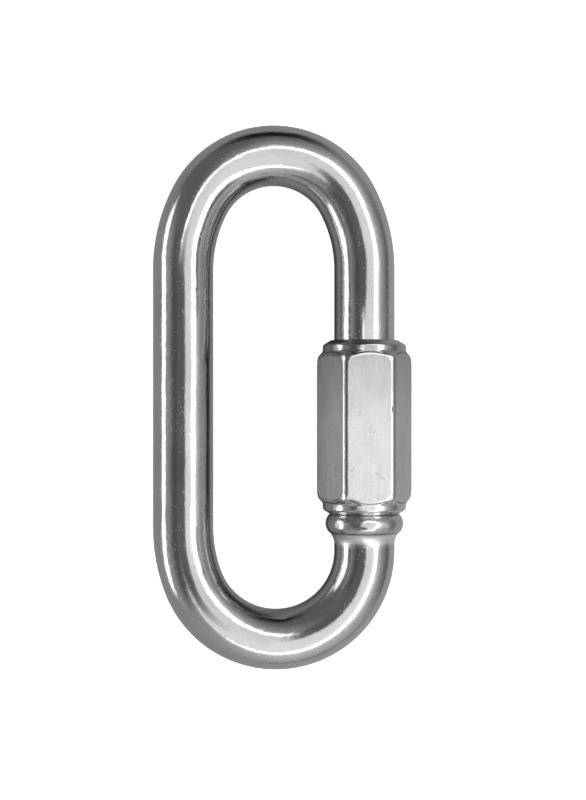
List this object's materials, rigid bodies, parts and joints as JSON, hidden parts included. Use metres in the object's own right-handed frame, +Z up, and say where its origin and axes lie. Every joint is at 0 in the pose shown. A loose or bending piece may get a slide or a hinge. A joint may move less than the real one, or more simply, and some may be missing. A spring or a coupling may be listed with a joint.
{
  "type": "chain quick link",
  "caption": "Oval quick link bent from round steel bar, with a gate in one limb that a hexagonal sleeve nut screws across and closes against a stop bead.",
  "frame": {"origin": "on the table, under the middle of the closed link's box", "axes": "+Y along the loop towards the bow that the nut opens to, +X from the plain limb to the nut, +Z up from the table the link lies on"},
  "size_m": [0.0428, 0.09, 0.014],
  "materials": {
    "polished_bar": "polished stainless steel bar with fine pits and faint draw lines along it",
    "satin_nut": "stainless steel, satin flats brushed along the nut, with polished edges and shoulders"
  },
  "bodies": {
    "link": {"link_bar": "polished_bar"},
    "nut": {"sleeve_nut": "satin_nut"}
  },
  "joints": [
    {"name": "nut_travel", "type": "slide", "parent": "link", "child": "nut", "axis": [0, 1, 0], "range_m": [0, 0.015]}
  ]
}
